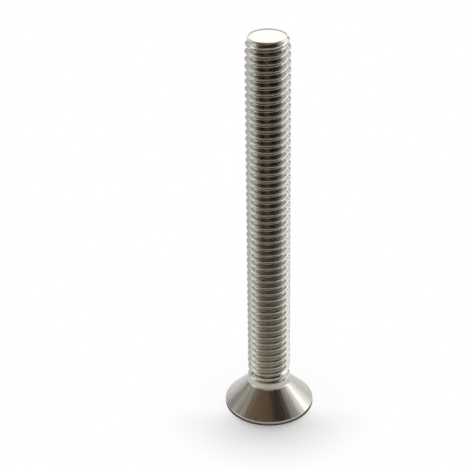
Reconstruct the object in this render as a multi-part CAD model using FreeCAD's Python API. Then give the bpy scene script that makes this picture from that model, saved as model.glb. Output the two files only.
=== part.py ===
"""Countersunk socket screw, one piece of stainless steel, forged, turned and thread-rolled.

It stands on its head: the flat face lies at z = 0 and the shank points up to its tip.
The shank has the thread's outer form: the fine thread itself isn't cut here.
"""
import FreeCAD, Part
import math
import os

from FreeCAD import Vector

# Driving dimensions, in millimetres and degrees
overall_length = 55.0
head_diameter = 12.3
head_angle = 90.0
rim_height = 0.57
face_edge_round = 0.12
rim_edge_round = 0.18
neck_diameter = 5.83
neck_length = 0.95
neck_fillet = 0.5

# Thread: its outer diameter, and the last turn that fades out at the neck
thread_diameter = 5.9
thread_pitch = 1.0
thread_angle = 60.0
runout_diameter = 5.45
runout_groove_depth = 0.3

# Tip: the end of the blank, chamfered before rolling and cupped by it
tip_diameter = 5.15
tip_chamfer_angle = 45.0
tip_edge_round = 0.1
tip_cup_diameter = 4.3
tip_cup_depth = 0.08

# Hexagon socket, and the round that the punch's shoulder leaves about it
socket_flats = 4.03
socket_depth = 2.3
socket_floor_angle = 120.0
mouth_diameter = 4.85
mouth_angle = 120.0
punch_round_diameter = 7.2
punch_round_depth = 0.05
hexagon_sides = 6


def half_slope(full_angle):
    """How far a cone of this full angle widens over one millimetre of its axis."""
    return math.tan(math.radians(full_angle / 2))


# Heights and radii that follow from the sizes above
head_radius = head_diameter / 2
neck_radius = neck_diameter / 2
cone_top = rim_height + (head_radius - neck_radius) / half_slope(head_angle)
neck_top = cone_top + neck_length


def rounded_wire(corners):
    """A closed wire in the XZ plane through (radius, height, corner round) points."""
    points = [Vector(x, 0, z) for x, z, corner_round in corners]
    starts, ends, edges = [], [], []
    for i, (x, z, corner_round) in enumerate(corners):
        here, after = points[i], points[(i + 1) % len(points)]
        start = end = here
        if corner_round:
            back = (points[i - 1] - here).normalize()
            on = (after - here).normalize()
            half_corner = back.getAngle(on) / 2
            reach = corner_round / math.tan(half_corner)
            inward = (back + on).normalize()
            start, end = here + back * reach, here + on * reach
            middle = here + inward * (corner_round / math.sin(half_corner) - corner_round)
            edges.append(Part.Arc(start, middle, end).toShape())
        starts.append(start)
        ends.append(end)
    for i, end in enumerate(ends):
        edges.append(Part.LineSegment(end, starts[(i + 1) % len(starts)]).toShape())
    return Part.Wire(Part.__sortEdges__(edges))


def turned(corners):
    """The solid that a lathe would turn from half an outline."""
    section = Part.Face(rounded_wire(corners))
    return section.revolve(Vector(0, 0, 0), Vector(0, 0, 1), 360)


def head_outline():
    """The flat face, the short rim, the 90 degree cone and its fillet into the neck."""
    return [
        (0, 0, 0),
        (head_radius, 0, face_edge_round),
        (head_radius, rim_height, rim_edge_round),
        (neck_radius, cone_top, neck_fillet),
        (neck_radius, neck_top, 0),
    ]


def runout_outline():
    """The shallow end of the groove beside the neck, then one turn that is not yet full."""
    runout_radius = runout_diameter / 2
    groove_half = runout_groove_depth * half_slope(thread_angle)
    rise = (thread_diameter - runout_diameter) / 2 * half_slope(thread_angle)
    groove_end = neck_top + 2 * groove_half
    return [
        (runout_radius - runout_groove_depth, neck_top + groove_half, 0),
        (runout_radius, groove_end, 0),
        (runout_radius, groove_end + thread_pitch - rise, 0),
        (thread_diameter / 2, groove_end + thread_pitch, 0),
    ]


def tip_outline():
    """The chamfer and the rounded edge of the flat end."""
    tip_radius = tip_diameter / 2
    chamfer = (thread_diameter / 2 - tip_radius) / math.tan(math.radians(tip_chamfer_angle))
    return [
        (thread_diameter / 2, overall_length - chamfer, 0),
        (tip_radius, overall_length, tip_edge_round),
        (0, overall_length, 0),
    ]


def hexagon_prism(flats, height):
    """A hexagon bar along Z with two flats facing X, standing on z = 0."""
    corner_radius = flats / 2 / math.cos(math.pi / hexagon_sides)
    corners = []
    for i in range(hexagon_sides + 1):
        turn = math.pi * (2 * i + 1) / hexagon_sides
        corners.append(Vector(corner_radius * math.cos(turn), corner_radius * math.sin(turn), 0))
    return Part.Face(Part.makePolygon(corners)).extrude(Vector(0, 0, height))


def socket():
    """The hexagon hole, its cone floor and the countersunk mouth that scallops its flats."""
    hexagon = hexagon_prism(socket_flats, socket_depth)
    floor_height = socket_flats / 2 / half_slope(socket_floor_angle)
    floor = Part.makeCone(socket_flats / 2, 0, floor_height, Vector(0, 0, socket_depth))
    mouth_height = mouth_diameter / 2 / half_slope(mouth_angle)
    mouth = Part.makeCone(mouth_diameter / 2, 0, mouth_height, Vector(0, 0, punch_round_depth))
    return hexagon.fuse([floor, mouth])


def punch_round():
    """The shallow round in the face."""
    return Part.makeCylinder(punch_round_diameter / 2, punch_round_depth)


def tip_cup():
    """The shallow dish in the end of the shank, part of a large ball."""
    cup_radius = tip_cup_diameter / 2
    ball_radius = (cup_radius ** 2 + tip_cup_depth ** 2) / (2 * tip_cup_depth)
    centre_height = overall_length - tip_cup_depth + ball_radius
    return Part.makeSphere(ball_radius, Vector(0, 0, centre_height))


def countersunk_screw():
    """The finished screw, one solid."""
    blank = turned(head_outline() + runout_outline() + tip_outline())
    return blank.cut([punch_round(), socket(), tip_cup()]).Solids[0]


def main():
    os.makedirs("parts", exist_ok=True)
    countersunk_screw().exportStep("parts/countersunk_screw.step")


main()
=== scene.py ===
"""Looks of the countersunk socket screw: its rolled thread, turned head and punched socket.

The screw stands on its head. It is modelled in millimetres and brought to metres at the end.
"""

import math

import bpy
import numpy as np
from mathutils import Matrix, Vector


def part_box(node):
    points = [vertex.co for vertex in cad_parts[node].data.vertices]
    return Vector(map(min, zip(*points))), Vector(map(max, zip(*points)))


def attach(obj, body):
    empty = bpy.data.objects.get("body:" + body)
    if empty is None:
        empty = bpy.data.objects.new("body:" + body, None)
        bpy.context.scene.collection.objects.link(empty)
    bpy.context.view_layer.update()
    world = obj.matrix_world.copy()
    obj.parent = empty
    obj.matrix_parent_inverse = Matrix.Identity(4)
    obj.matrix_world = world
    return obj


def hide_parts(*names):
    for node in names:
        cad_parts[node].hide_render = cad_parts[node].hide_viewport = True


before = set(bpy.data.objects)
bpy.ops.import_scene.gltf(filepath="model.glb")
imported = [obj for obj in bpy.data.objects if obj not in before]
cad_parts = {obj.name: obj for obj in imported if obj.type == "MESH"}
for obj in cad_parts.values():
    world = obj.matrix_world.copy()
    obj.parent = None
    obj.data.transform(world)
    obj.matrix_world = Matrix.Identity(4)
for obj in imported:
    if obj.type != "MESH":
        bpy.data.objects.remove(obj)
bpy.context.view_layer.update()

# The solid that this screw replaces gives its length and its head's width
NODE = "countersunk_screw"
MILLIMETRES = 1000.0
low_corner, high_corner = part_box(NODE)
LENGTH = high_corner.z * MILLIMETRES
HEAD_RADIUS = high_corner.x * MILLIMETRES

# Thread, in millimetres: 60 degree flanks, rounded at the crest and at the root
PITCH = 1.0
THREAD_RADIUS = 2.95
PITCH_RADIUS = 2.675
ROOT_RADIUS = 2.386
FLANK_SLOPE = math.tan(math.radians(30))
FRONT_CREST = 0.27
THREAD_STEPS = 96
CREST_SEGMENTS = 6
SPARE_TURNS = 4

# Head: short rim, 90 degree cone and neck; a bridge joins its top to the shank just above
RIM_HEIGHT = 0.57
NECK_RADIUS = 2.915
NECK_TOP = 4.755
NECK_JOIN = 4.3
HEAD_TOP = NECK_JOIN - 0.05
CONE_TOP = RIM_HEIGHT + HEAD_RADIUS - NECK_RADIUS
HEAD_STEPS = 192

# Rounds of the head: radius, and how many faces go around each
NECK_FILLET = 0.5
NECK_SEGMENTS = 5
RIM_ROUND = 0.18
RIM_SEGMENTS = 4
FACE_ROUND = 0.12
FACE_SEGMENTS = 5
CONE_CORNER = math.tan(math.radians(45 / 2))

# Run-out: the collar's edge beside the thread, cut at these shares of its height, and the
# heights over which crest and root of the last turn fade into the blank
COLLAR_EDGE = 0.05
COLLAR_STEP = 0.14
COLLAR_CUTS = (0, 0.25, 0.5, 0.75, 1)
CREST_FADE = (4.95, 6.3)
ROOT_FADE = (4.3, 6.0)

# Tip: chamfer, rounded edge, taper of the first crest and the cup that rolling leaves.
# Each ring of the edge goes this far in, and lies this far below the end; each ring of the
# cup lies at this share of its radius and of its depth
TIP_RADIUS = 2.575
TIP_ROUND = 0.1
TIP_RINGS = ((0.015, 0.03), (0.035, 0.0075), (0.05, 0.0))
CHAMFER_SOFTNESS = 0.06
LEAD_RADIUS = 2.63
LEAD_SLOPE = 0.25
LEAD_SOFTNESS = 0.09
CUP_RADIUS = 2.42
CUP_DEPTH = 0.08
CUP_RINGS = ((1.0, 0.0), (0.97, 0.4), (0.93, 0.85), (0.88, 0.97), (0.6, 1.0), (0.3, 1.0), (0.05, 1.0))

# Socket: punch round, countersunk mouth, hexagon and cone floor, with its rings' shares
PUNCH_RADIUS = 3.6
PUNCH_DEPTH = 0.05
MOUTH_RADIUS = 2.425
HEX_HALF = 2.015
HEX_DEPTH = 2.3
MOUTH_SLOPE = math.tan(math.radians(60))
FLOOR_SLOPE = math.tan(math.radians(60))
FLOOR_RINGS = (1.0, 0.66, 0.33, 0.03)

# Vertices this close are one, and this close are on one ring; at the tip's cut the crossing
# thread leaves slivers up to this wide; edges over this angle stay sharp
WELD = 1e-4
SAME_RING = 1e-3
SLIVER = 0.004
SHARP_ANGLE = math.radians(38)

# Finishes: two tints, roughness from and to, then grain to the metre and its depth in metres
ROLLED = (((0.54, 0.53, 0.49), (0.64, 0.63, 0.6)), (0.12, 0.18), (700, 700, 1800), 4e-7)
TURNED = (((0.5, 0.48, 0.44), (0.7, 0.69, 0.66)), (0.16, 0.28))
SATIN = (((0.58, 0.56, 0.53), (0.66, 0.64, 0.61)), (0.33, 0.47), (9000, 9000, 9000), 3e-6)
PUNCHED = (((0.44, 0.4, 0.34), (0.56, 0.53, 0.48)), (0.28, 0.42), (4000, 4000, 4000), 3e-6)
SATIN_TOP = 0.1

# Marks: how fine their noise goes, and the part of its range that roughness follows
MARKS_DETAIL = 3.0
MARKS_RANGE = (0.3, 0.7)

# Finish of the cone: streaks to the radian and to the metre, their depth, and fine scratches
STREAKS_AROUND = 11
STREAKS_ALONG = 90
STREAK_DEPTH = 0.00002
SCRATCHES_AROUND = 70
SCRATCHES_ALONG = 400

# Camera: the photograph's place, tilt and lens, in metres, degrees and millimetres
CAMERA_PLACE = (0.0, -0.1634, 0.1182)
CAMERA_PITCH = 29.20
CAMERA_ROLL = 0.862
CAMERA_PAN = 1.078
CAMERA_LENS = 107.77
SENSOR = 36.0
CAMERA_NEAR = 0.001

# Lamp for the floor: place and size in metres, power in watts
LAMP_PLACE = (0.0, 0.6, 0.33)
LAMP_SIZE = (1.2, 0.38)
LAMP_POWER = 4.3

# Floor: its size and level in metres, and its white
FLOOR_SIZE = 4
FLOOR_LEVEL = -0.00002
FLOOR_WHITE = (0.95, 0.95, 0.95)

# Painted shade on the floor that only reflections see: a warm painted tint from the first, then dark,
# by metres along Y, and a painted dim brown again by metres from the axis
WARM_PAINTED_TINT = (0.95, 0.905, 0.79)
FRONT_SHADE = (0.008, 0.004, 0.001)
SHADE_STARTS = -0.002
SHADE_WARM = -0.008
SHADE_FULL = -0.06
FAR_SHADE = (0.15, 0.12, 0.09)
FAR_STARTS = 0.11
FAR_FULL = 0.17

# The camera sees the screw's shadow in front of it and turns to plain white from there out:
# metres from the axis, and metres along Y; beside and behind, this share of the shadow is kept
PLAIN_STARTS = 0.005
PLAIN_FULL = 0.018
SHADOW_STARTS = -0.001
SHADOW_FULL = -0.0065
SHADOW_BESIDE = 0.16

# Warm painted reflection in a strip down the middle of that painted shade: colour, where it points,
# core and reach in degrees
STRIP_PAINTED_REFLECTION = (0.14, 0.1, 0.065)
STRIP_AZIMUTH = -6
STRIP_CORE = 5
STRIP_REACH = 20

# Painted shadow around the foot of the rim, which only reflections see, in metres from the axis
FOOT_SHADE = (0.05, 0.045, 0.04)
FOOT_FULL = 0.0064
FOOT_ENDS = 0.0068

# Room as the steel reflects it: azimuth, elevation, core and reach in degrees, and colour
ROOM_WALLS = (0.86, 0.87, 0.84)
ROOM_LIGHT = 0.6
ROOM_PARTS = [
    (-150, 8, 10, 22, (0.62, 0.62, 0.6)),
    (-115, 12, 8, 18, (0.26, 0.25, 0.23)),
    (-96, 24, 7, 17, (0.24, 0.23, 0.2)),
    (-102, 22, 2, 6, (1.0, 0.91, 0.84)),
    (-8, 54, 38, 72, (0.15, 0.1, 0.05)),
    (-6, 4, 18, 40, (0.5, 0.41, 0.31)),
    (42, 48, 13, 26, (0.032, 0.01, 0.006)),
    (60, 86, 24, 40, (0.025, 0.018, 0.01)),
    (77, 33, 7, 18, (0.3, 0.28, 0.25)),
    (113, 55, 8, 20, (0.34, 0.32, 0.29)),
    (128, 53, 4, 8, (0.2, 0.19, 0.175)),
    (156, 6, 8, 18, (0.55, 0.55, 0.53)),
    (109, 18, 3, 11, (2.3, 2.3, 2.28)),
    (132, 26, 8, 19, (1.5, 1.5, 1.48)),
    (142, 32, 4, 8.5, (0.75, 0.75, 0.73)),
    (180, 17, 8, 13, (1.65, 1.65, 1.65)),
    (93, 3, 6, 14, (2.6, 2.6, 2.58)),
    (113, 34, 2, 9, (2.0, 2.0, 1.98)),
    (102, 40, 2, 9, (2.0, 2.0, 1.98)),
    (90, 46, 2, 9, (1.5, 1.5, 1.48)),
    (-83, 2, 7, 14, (2.4, 2.4, 2.38)),
    (-117, 36, 2, 8, (2.3, 2.3, 2.28)),
    (-107, 43, 2, 8, (2.3, 2.3, 2.28)),
    (-95, 49, 2, 8, (1.9, 1.9, 1.88)),
    (-80, 54, 2, 8, (1.2, 1.2, 1.18)),
]


def edit_mode(on):
    """Goes into edit mode, or out of it."""
    bpy.ops.object.mode_set(mode="EDIT" if on else "OBJECT")


def pick(piece, chosen):
    """Stays in edit mode with only those vertices selected whose place passes the test."""
    edit_mode(True)
    bpy.ops.mesh.select_mode(type="VERT")
    bpy.ops.mesh.select_all(action="DESELECT")
    edit_mode(False)
    for vertex in piece.data.vertices:
        vertex.select = chosen(vertex.co)
    edit_mode(True)


def outline(name, corners):
    """A chain of edges in the XZ plane through (radius, height) corners."""
    bpy.ops.object.select_all(action="DESELECT")
    bpy.ops.mesh.primitive_plane_add(size=1)
    piece = bpy.context.object
    piece.name = name
    edit_mode(True)
    bpy.ops.mesh.merge(type="CENTER")
    radius, height = corners[0]
    bpy.ops.transform.translate(value=(radius, 0, height))
    for next_radius, next_height in corners[1:]:
        step = (next_radius - radius, 0, next_height - height)
        bpy.ops.mesh.extrude_vertices_move(TRANSFORM_OT_translate={"value": step})
        radius, height = next_radius, next_height
    edit_mode(False)
    return piece


def round_corner(piece, corner, reach, segments):
    """Rounds one corner of an outline, starting this far along its edges."""
    radius, height = corner
    pick(piece, lambda place: math.hypot(place.x - radius, place.z - height) < WELD)
    bpy.ops.mesh.bevel(
        affect="VERTICES", offset=reach, segments=segments, profile=0.5, clamp_overlap=False
    )
    edit_mode(False)


def swept(piece, rise, turns, steps):
    """Turns an outline about the axis, climbing by the rise with each turn."""
    sweep = piece.modifiers.new("Sweep", "SCREW")
    sweep.axis = "Z"
    sweep.angle = math.tau
    sweep.screw_offset = rise
    sweep.iterations = turns
    sweep.steps = steps
    sweep.render_steps = steps
    bpy.ops.object.modifier_apply(modifier=sweep.name)
    edit_mode(True)
    bpy.ops.mesh.select_all(action="SELECT")
    bpy.ops.mesh.remove_doubles(threshold=WELD)
    edit_mode(False)


def cut_at(height, below=False, above=False):
    """Cuts the whole mesh level at a height, and clears what lies below or above."""
    edit_mode(True)
    bpy.ops.mesh.select_all(action="SELECT")
    bpy.ops.mesh.bisect(
        plane_co=(0, 0, height),
        plane_no=(0, 0, 1),
        clear_inner=below,
        clear_outer=above,
        threshold=WELD / 10,
    )
    edit_mode(False)


def thread_outline():
    """One pitch of the thread, from the middle of one flank to the same place a turn on."""
    half_height = PITCH / 4 / FLANK_SLOPE
    first_crest = NECK_JOIN - 2 * PITCH
    crest_height = math.floor(first_crest) + FRONT_CREST + PITCH / 4
    crest = (PITCH_RADIUS + half_height, crest_height)
    root = (PITCH_RADIUS - half_height, crest_height + PITCH / 2)
    start = (PITCH_RADIUS, crest_height - PITCH / 4)
    end = (PITCH_RADIUS, crest_height + PITCH * 3 / 4)
    piece = outline("thread", [start, crest, root, end])
    apex_share = (2 - math.sqrt(2)) * math.cos(math.atan(FLANK_SLOPE))
    crest_reach = (crest[0] - THREAD_RADIUS) / apex_share
    root_reach = (ROOT_RADIUS - root[0]) / apex_share
    round_corner(piece, crest, crest_reach, CREST_SEGMENTS)
    round_corner(piece, root, root_reach, CREST_SEGMENTS)
    return piece


def fade(heights, span):
    """A soft climb from 0 to 1 over a span of heights."""
    share = np.clip((heights - span[0]) / (span[1] - span[0]), 0, 1)
    return share * share * (3 - 2 * share)


def softly_within(radius, limit, softness):
    """The smaller of two radii, with a small round where they cross."""
    gap = limit - radius
    return (limit + radius - np.sqrt(gap * gap + softness ** 2)) / 2


def shape_shank(piece):
    """Fades the last turn into the neck, and tapers and chamfers the first one at the tip."""
    mesh = piece.data
    places = np.zeros(len(mesh.vertices) * 3)
    mesh.vertices.foreach_get("co", places)
    places = places.reshape(-1, 3)
    radius = np.hypot(places[:, 0], places[:, 1])
    height = places[:, 2]
    depth = radius - PITCH_RADIUS
    kept = np.where(depth > 0, fade(height, CREST_FADE), fade(height, ROOT_FADE))
    shaped = PITCH_RADIUS + depth * kept
    collar = 1 - fade(height, (NECK_TOP - COLLAR_EDGE, NECK_TOP + COLLAR_STEP))
    shaped = shaped + (NECK_RADIUS - shaped) * collar
    from_end = LENGTH - height
    shaped = softly_within(shaped, LEAD_RADIUS + LEAD_SLOPE * from_end, LEAD_SOFTNESS)
    shaped = softly_within(shaped, TIP_RADIUS + from_end, CHAMFER_SOFTNESS)
    places[:, :2] *= (shaped / radius)[:, None]
    mesh.vertices.foreach_set("co", places.ravel())
    mesh.update()


def draw_ring(piece, placed):
    """Extrudes the selected ring of edges, and puts each new vertex where the rule says."""
    bpy.ops.mesh.extrude_region_move()
    edit_mode(False)
    for vertex in piece.data.vertices:
        if vertex.select:
            vertex.co = placed(vertex.co)
    edit_mode(True)


def at_radius(place, radius, height):
    """The point straight in or out from a place, at a radius and a height."""
    scale = radius / math.hypot(place.x, place.y)
    return (place.x * scale, place.y * scale, height)


def close_tip(piece):
    """The rounded edge of the end, its narrow flat and the shallow cup."""
    edge = LENGTH - TIP_ROUND
    pick(piece, lambda place: place.z > edge - WELD)
    bpy.ops.mesh.remove_doubles(threshold=SLIVER)
    for inward, drop in TIP_RINGS:
        draw_ring(piece, lambda p: at_radius(p, math.hypot(p.x, p.y) - inward, LENGTH - drop))
    for share, sunk in CUP_RINGS:
        draw_ring(piece, lambda p: at_radius(p, CUP_RADIUS * share, LENGTH - CUP_DEPTH * sunk))
    bpy.ops.mesh.merge(type="CENTER")
    edit_mode(False)


def threaded_shank():
    """The rolled thread from the neck to the tip, open below where the head joins it."""
    piece = thread_outline()
    swept(piece, PITCH, math.ceil(LENGTH - NECK_JOIN) + SPARE_TURNS, THREAD_STEPS)
    cut_at(NECK_JOIN, below=True)
    cut_at(LENGTH - TIP_ROUND, above=True)
    for share in COLLAR_CUTS:
        cut_at(NECK_TOP - COLLAR_EDGE + (COLLAR_EDGE + COLLAR_STEP) * share)
    shape_shank(piece)
    close_tip(piece)
    return piece


def turned_head():
    """The neck, cone, rim, face and punch round, open where the socket starts."""
    neck_foot = (NECK_RADIUS, CONE_TOP)
    cone_edge = (HEAD_RADIUS, RIM_HEIGHT)
    face_edge = (HEAD_RADIUS, 0.0)
    punch_edge = (PUNCH_RADIUS, 0.0)
    punch_foot = (PUNCH_RADIUS - PUNCH_DEPTH, PUNCH_DEPTH)
    mouth = (MOUTH_RADIUS, PUNCH_DEPTH)
    corners = [(NECK_RADIUS, HEAD_TOP), neck_foot, cone_edge, face_edge]
    piece = outline("head", corners + [punch_edge, punch_foot, mouth])
    round_corner(piece, neck_foot, NECK_FILLET * CONE_CORNER, NECK_SEGMENTS)
    round_corner(piece, cone_edge, RIM_ROUND * CONE_CORNER, RIM_SEGMENTS)
    round_corner(piece, face_edge, FACE_ROUND, FACE_SEGMENTS)
    swept(piece, 0, 1, HEAD_STEPS)
    return piece


def hexagon_radius(place):
    """How far the hexagon's wall is from the axis in this direction."""
    turn = math.atan2(place.y, place.x)
    sixth = math.pi / 3
    from_flat = (turn + sixth / 2) % sixth - sixth / 2
    return HEX_HALF / math.cos(from_flat)


def punch_socket(piece):
    """The countersunk mouth, the hexagon's walls and the cone floor."""
    pick(piece, lambda p: abs(math.hypot(p.x, p.y) - MOUTH_RADIUS) < SAME_RING and p.z < RIM_HEIGHT)

    def scallop(place):
        wall = hexagon_radius(place)
        return at_radius(place, wall, PUNCH_DEPTH + (MOUTH_RADIUS - wall) / MOUTH_SLOPE)

    draw_ring(piece, scallop)
    for height in (HEX_DEPTH / 2, HEX_DEPTH):
        draw_ring(piece, lambda p: at_radius(p, hexagon_radius(p), height))
    for share in FLOOR_RINGS:
        rise = HEX_HALF * (1 - share) / FLOOR_SLOPE
        draw_ring(piece, lambda p: at_radius(p, HEX_HALF * share, HEX_DEPTH + rise))
    bpy.ops.mesh.merge(type="CENTER")
    edit_mode(False)


def join_at_neck(shank, head):
    """Makes shank and head one piece, bridged around the neck."""
    bpy.ops.object.select_all(action="DESELECT")
    head.select_set(True)
    shank.select_set(True)
    bpy.context.view_layer.objects.active = shank
    bpy.ops.object.join()
    pick(shank, lambda p: any(abs(p.z - edge) < WELD for edge in (NECK_JOIN, HEAD_TOP)))
    bpy.ops.mesh.bridge_edge_loops()
    bpy.ops.mesh.select_all(action="SELECT")
    bpy.ops.mesh.normals_make_consistent(inside=False)
    edit_mode(False)
    shank.name = "steel_screw"
    return shank


def finish_piece(piece):
    """Shades it smooth but for its edges, and brings it to metres at the origin."""
    bpy.ops.object.select_all(action="DESELECT")
    piece.select_set(True)
    bpy.context.view_layer.objects.active = piece
    bpy.ops.object.shade_smooth_by_angle(angle=SHARP_ANGLE)
    weighted = piece.modifiers.new("Even shading", "WEIGHTED_NORMAL")
    weighted.keep_sharp = True
    bpy.ops.object.modifier_apply(modifier=weighted.name)
    scale = 1 / MILLIMETRES
    bpy.ops.transform.resize(value=(scale, scale, scale), center_override=(0, 0, 0))
    bpy.ops.object.transform_apply(location=True, rotation=True, scale=True)


def new_material(name):
    """An empty node material with its surface shader."""
    material = bpy.data.materials.new(name)
    material.use_nodes = True
    return material, material.node_tree, material.node_tree.nodes["Principled BSDF"]


def marks(tree, coordinates):
    """Uneven marks from 0 to 1, laid out by these coordinates."""
    noise = tree.nodes.new("ShaderNodeTexNoise")
    noise.inputs["Scale"].default_value = 1.0
    noise.inputs["Detail"].default_value = MARKS_DETAIL
    tree.links.new(coordinates, noise.inputs["Vector"])
    return noise.outputs["Fac"]


def grain(tree, per_metre):
    """Marks with this many to the metre along X, Y and Z."""
    place = tree.nodes.new("ShaderNodeTexCoord")
    stretch = tree.nodes.new("ShaderNodeMapping")
    stretch.inputs["Scale"].default_value = per_metre
    tree.links.new(place.outputs["Object"], stretch.inputs["Vector"])
    return marks(tree, stretch.outputs["Vector"])


def streaks(tree, around, along):
    """Marks that run up and down the cone, as the heading die leaves them."""
    place = tree.nodes.new("ShaderNodeTexCoord")
    level = tree.nodes.new("ShaderNodeVectorMath")
    level.operation = "MULTIPLY"
    level.inputs[1].default_value = (1, 1, 0)
    outward = tree.nodes.new("ShaderNodeVectorMath")
    outward.operation = "NORMALIZE"
    climb = tree.nodes.new("ShaderNodeVectorMath")
    climb.operation = "MULTIPLY"
    climb.inputs[1].default_value = (0, 0, along)
    both = tree.nodes.new("ShaderNodeVectorMath")
    both.operation = "MULTIPLY_ADD"
    both.inputs[1].default_value = (around, around, 0)
    tree.links.new(place.outputs["Object"], level.inputs[0])
    tree.links.new(level.outputs["Vector"], outward.inputs[0])
    tree.links.new(place.outputs["Object"], climb.inputs[0])
    tree.links.new(outward.outputs["Vector"], both.inputs[0])
    tree.links.new(climb.outputs["Vector"], both.inputs[2])
    return marks(tree, both.outputs["Vector"])


def steel(name, colours, roughness):
    """Stainless steel, its tree, and the sockets by which marks vary its tint and its gloss."""
    material, tree, shader = new_material(name)
    shader.inputs["Metallic"].default_value = 1.0
    tint = tree.nodes.new("ShaderNodeMix")
    tint.data_type = "RGBA"
    tint.inputs["A"].default_value = (*colours[0], 1)
    tint.inputs["B"].default_value = (*colours[1], 1)
    gloss = tree.nodes.new("ShaderNodeMapRange")
    gloss.inputs["From Min"].default_value, gloss.inputs["From Max"].default_value = MARKS_RANGE
    gloss.inputs["To Min"].default_value, gloss.inputs["To Max"].default_value = roughness
    tree.links.new(tint.outputs["Result"], shader.inputs["Base Color"])
    tree.links.new(gloss.outputs["Result"], shader.inputs["Roughness"])
    return material, tree, tint.inputs["Factor"], gloss.inputs["Value"]


def relief(material, height, depth):
    """Lets marks stand this deep, in metres, on a finish."""
    tree = material.node_tree
    bump = tree.nodes.new("ShaderNodeBump")
    bump.inputs["Distance"].default_value = depth
    tree.links.new(height, bump.inputs["Height"])
    tree.links.new(bump.outputs["Normal"], tree.nodes["Principled BSDF"].inputs["Normal"])


def grained_steel(name, colours, roughness, per_metre, depth):
    """Steel whose tint, gloss and surface vary with one grain."""
    material, tree, tint, gloss = steel(name, colours, roughness)
    fine = grain(tree, per_metre)
    tree.links.new(fine, tint)
    tree.links.new(fine, gloss)
    relief(material, fine, depth)
    return material


def turned_steel(name, colours, roughness):
    """Steel with broad streaks and fine scratches that run up and down the cone."""
    material, tree, tint, gloss = steel(name, colours, roughness)
    broad = streaks(tree, STREAKS_AROUND, STREAKS_ALONG)
    fine = streaks(tree, SCRATCHES_AROUND, SCRATCHES_ALONG)
    tree.links.new(fine, tint)
    tree.links.new(fine, gloss)
    relief(material, broad, STREAK_DEPTH)
    return material


def give_finishes(piece):
    """Rolled, turned, satin and punched steel, each on its own faces."""
    rolled, turned, satin, punched = range(4)
    piece.data.materials.append(grained_steel("rolled_thread", *ROLLED))
    piece.data.materials.append(turned_steel("turned_cone", *TURNED))
    piece.data.materials.append(grained_steel("satin_face", *SATIN))
    piece.data.materials.append(grained_steel("punched_socket", *PUNCHED))
    for face in piece.data.polygons:
        height = face.center.z * MILLIMETRES
        radius = math.hypot(face.center.x, face.center.y) * MILLIMETRES
        if height > NECK_TOP:
            face.material_index = rolled
        elif radius < MOUTH_RADIUS and height < CONE_TOP:
            face.material_index = punched
        elif height < SATIN_TOP:
            face.material_index = satin
        else:
            face.material_index = turned


def countersunk_screw():
    """The whole screw, in place of its solid."""
    shank = threaded_shank()
    head = turned_head()
    punch_socket(head)
    piece = join_at_neck(shank, head)
    finish_piece(piece)
    give_finishes(piece)
    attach(piece, "root")
    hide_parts(NODE)
    return piece


def laid_over(tree, amount, base, colour):
    """Lays a colour over a base colour by an amount, and gives the socket that holds both."""
    mix = tree.nodes.new("ShaderNodeMix")
    mix.data_type = "RGBA"
    mix.inputs["B"].default_value = (*colour, 1)
    tree.links.new(amount, mix.inputs["Factor"])
    tree.links.new(base, mix.inputs["A"])
    return mix.outputs["Result"]


def soft_step(tree, value, low, high, least=0.0):
    """A socket that climbs softly from the least amount to 1 as the value goes from low to high."""
    step = tree.nodes.new("ShaderNodeMapRange")
    step.interpolation_type = "SMOOTHSTEP"
    step.inputs["From Min"].default_value = low
    step.inputs["From Max"].default_value = high
    step.inputs["To Min"].default_value = least
    tree.links.new(value, step.inputs["Value"])
    return step.outputs["Result"]


def multiplied(tree, first, second):
    """The product of two sockets."""
    product = tree.nodes.new("ShaderNodeMath")
    product.operation = "MULTIPLY"
    tree.links.new(first, product.inputs[0])
    tree.links.new(second, product.inputs[1])
    return product.outputs["Value"]


def blended(tree, amount, first, second):
    """Goes from one shader to another by an amount, and gives the socket that holds both."""
    mix = tree.nodes.new("ShaderNodeMixShader")
    tree.links.new(amount, mix.inputs[0])
    tree.links.new(first, mix.inputs[1])
    tree.links.new(second, mix.inputs[2])
    return mix.outputs[0]


def towards(tree, place, aim, core, reach):
    """1 within the core of a direction and 0 beyond its reach, in degrees, with a soft edge."""
    facing = tree.nodes.new("ShaderNodeVectorMath")
    facing.operation = "DOT_PRODUCT"
    facing.inputs[1].default_value = aim
    tree.links.new(place, facing.inputs[0])
    edge, middle = math.cos(math.radians(reach)), math.cos(math.radians(core))
    return soft_step(tree, facing.outputs["Value"], edge, middle)


def floor_shades(tree, place, along, away):
    """The floor's painted shades, painted warm tint and painted reflection strip, each with its
    amount, the last one on top.
    """
    heading = tree.nodes.new("ShaderNodeVectorMath")
    heading.operation = "NORMALIZE"
    tree.links.new(place, heading.inputs[0])
    aim = direction(STRIP_AZIMUTH, 0)
    strip = towards(tree, heading.outputs["Vector"], aim, STRIP_CORE, STRIP_REACH)
    warm = soft_step(tree, along, SHADE_STARTS, SHADE_WARM)
    front = soft_step(tree, along, SHADE_STARTS, SHADE_FULL)
    far = multiplied(tree, front, soft_step(tree, away, FAR_STARTS, FAR_FULL))
    foot = soft_step(tree, away, FOOT_ENDS, FOOT_FULL)
    return (
        (warm, WARM_PAINTED_TINT),
        (front, FRONT_SHADE),
        (far, FAR_SHADE),
        (multiplied(tree, front, strip), STRIP_PAINTED_REFLECTION),
        (foot, FOOT_SHADE),
    )


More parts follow.
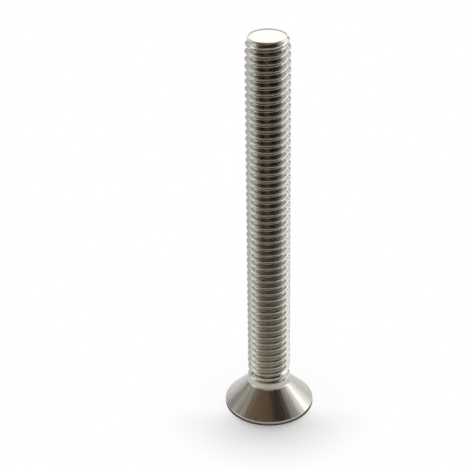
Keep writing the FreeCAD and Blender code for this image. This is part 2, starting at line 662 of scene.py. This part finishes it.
def white_floor():
    """White that reflections see with painted shade in front, and the camera sees plain but for the
    shadow.
    """
    material, tree, shader = new_material("white_floor")
    shader.inputs["Roughness"].default_value = 1.0
    shader.inputs["Specular IOR Level"].default_value = 0.0
    place = tree.nodes.new("ShaderNodeTexCoord").outputs["Object"]
    parts = tree.nodes.new("ShaderNodeSeparateXYZ")
    length = tree.nodes.new("ShaderNodeVectorMath")
    length.operation = "LENGTH"
    tree.links.new(place, parts.inputs[0])
    tree.links.new(place, length.inputs[0])
    along, away = parts.outputs["Y"], length.outputs["Value"]
    path = tree.nodes.new("ShaderNodeLightPath")
    white = tree.nodes.new("ShaderNodeRGB")
    white.outputs[0].default_value = (*FLOOR_WHITE, 1)
    shaded = white.outputs[0]
    # The painted shades and tints go only into what glossy rays see
    for amount, colour in floor_shades(tree, place, along, away):
        reflected = multiplied(tree, amount, path.outputs["Is Glossy Ray"])
        shaded = laid_over(tree, reflected, shaded, colour)
    tree.links.new(shaded, shader.inputs["Base Color"])
    near = soft_step(tree, away, PLAIN_FULL, PLAIN_STARTS)
    before = soft_step(tree, along, SHADOW_STARTS, SHADOW_FULL, SHADOW_BESIDE)
    plain = tree.nodes.new("ShaderNodeEmission")
    seen = blended(tree, multiplied(tree, near, before), plain.outputs[0], shader.outputs[0])
    surface = blended(tree, path.outputs["Is Camera Ray"], shader.outputs[0], seen)
    tree.links.new(surface, tree.nodes["Material Output"].inputs["Surface"])
    return material


def pale_floor():
    """The white surface that the screw stands on."""
    bpy.ops.object.select_all(action="DESELECT")
    bpy.ops.mesh.primitive_plane_add(size=FLOOR_SIZE, location=(0, 0, FLOOR_LEVEL))
    floor = bpy.context.object
    floor.name = "floor"
    floor.data.materials.append(white_floor())


def soft_box(name, place, size, power):
    """A soft lamp for the floor that points at the screw, unseen by camera and steel."""
    light = bpy.data.lights.new(name, "AREA")
    light.shape = "RECTANGLE"
    light.size, light.size_y = size
    light.energy = power
    lamp = bpy.data.objects.new(name, light)
    lamp.location = place
    lamp.visible_camera = False
    lamp.visible_glossy = False
    middle = (low_corner + high_corner) / 2
    lamp.rotation_euler = (middle - lamp.location).to_track_quat("-Z", "Y").to_euler()
    bpy.context.scene.collection.objects.link(lamp)


def direction(azimuth, elevation):
    """The unit vector towards a part of the room: azimuth 0 is the front, 90 the right."""
    turn, rise = math.radians(azimuth), math.radians(elevation)
    return (math.sin(turn) * math.cos(rise), -math.cos(turn) * math.cos(rise), math.sin(rise))


def room():
    """White all round, with the parts of the room that the bright steel reflects."""
    world = bpy.data.worlds.new("room")
    bpy.context.scene.world = world
    world.use_nodes = True
    tree = world.node_tree
    background = tree.nodes["Background"]
    place = tree.nodes.new("ShaderNodeTexCoord")
    walls = tree.nodes.new("ShaderNodeRGB")
    walls.outputs[0].default_value = (*ROOM_WALLS, 1)
    reflected = walls.outputs[0]
    for azimuth, elevation, core, reach, colour in ROOM_PARTS:
        toward = direction(azimuth, elevation)
        amount = towards(tree, place.outputs["Generated"], toward, core, reach)
        reflected = laid_over(tree, amount, reflected, colour)
    path = tree.nodes.new("ShaderNodeLightPath")
    seen = tree.nodes.new("ShaderNodeMix")
    seen.data_type = "RGBA"
    tree.links.new(path.outputs["Is Glossy Ray"], seen.inputs["Factor"])
    tree.links.new(reflected, seen.inputs["B"])
    light = (ROOM_LIGHT, ROOM_LIGHT, ROOM_LIGHT)
    white = tree.nodes.new("ShaderNodeRGB")
    white.outputs[0].default_value = (1, 1, 1, 1)
    lit = laid_over(tree, path.outputs["Is Diffuse Ray"], white.outputs[0], light)
    tree.links.new(lit, seen.inputs["A"])
    tree.links.new(seen.outputs["Result"], background.inputs["Color"])


def camera():
    """The photograph's point of view."""
    lens = bpy.data.cameras.new("camera")
    lens.lens = CAMERA_LENS
    lens.sensor_width = SENSOR
    lens.clip_start = CAMERA_NEAR
    view = bpy.data.objects.new("camera", lens)
    view.location = CAMERA_PLACE
    tilt = (90 - CAMERA_PITCH, CAMERA_ROLL, CAMERA_PAN)
    view.rotation_euler = [math.radians(angle) for angle in tilt]
    bpy.context.scene.collection.objects.link(view)
    bpy.context.scene.camera = view


def main():
    """Builds the screw and its plain studio."""
    countersunk_screw()
    pale_floor()
    room()
    soft_box("low back lamp", LAMP_PLACE, LAMP_SIZE, LAMP_POWER)
    camera()
    bpy.context.scene.view_settings.view_transform = "Standard"


main()
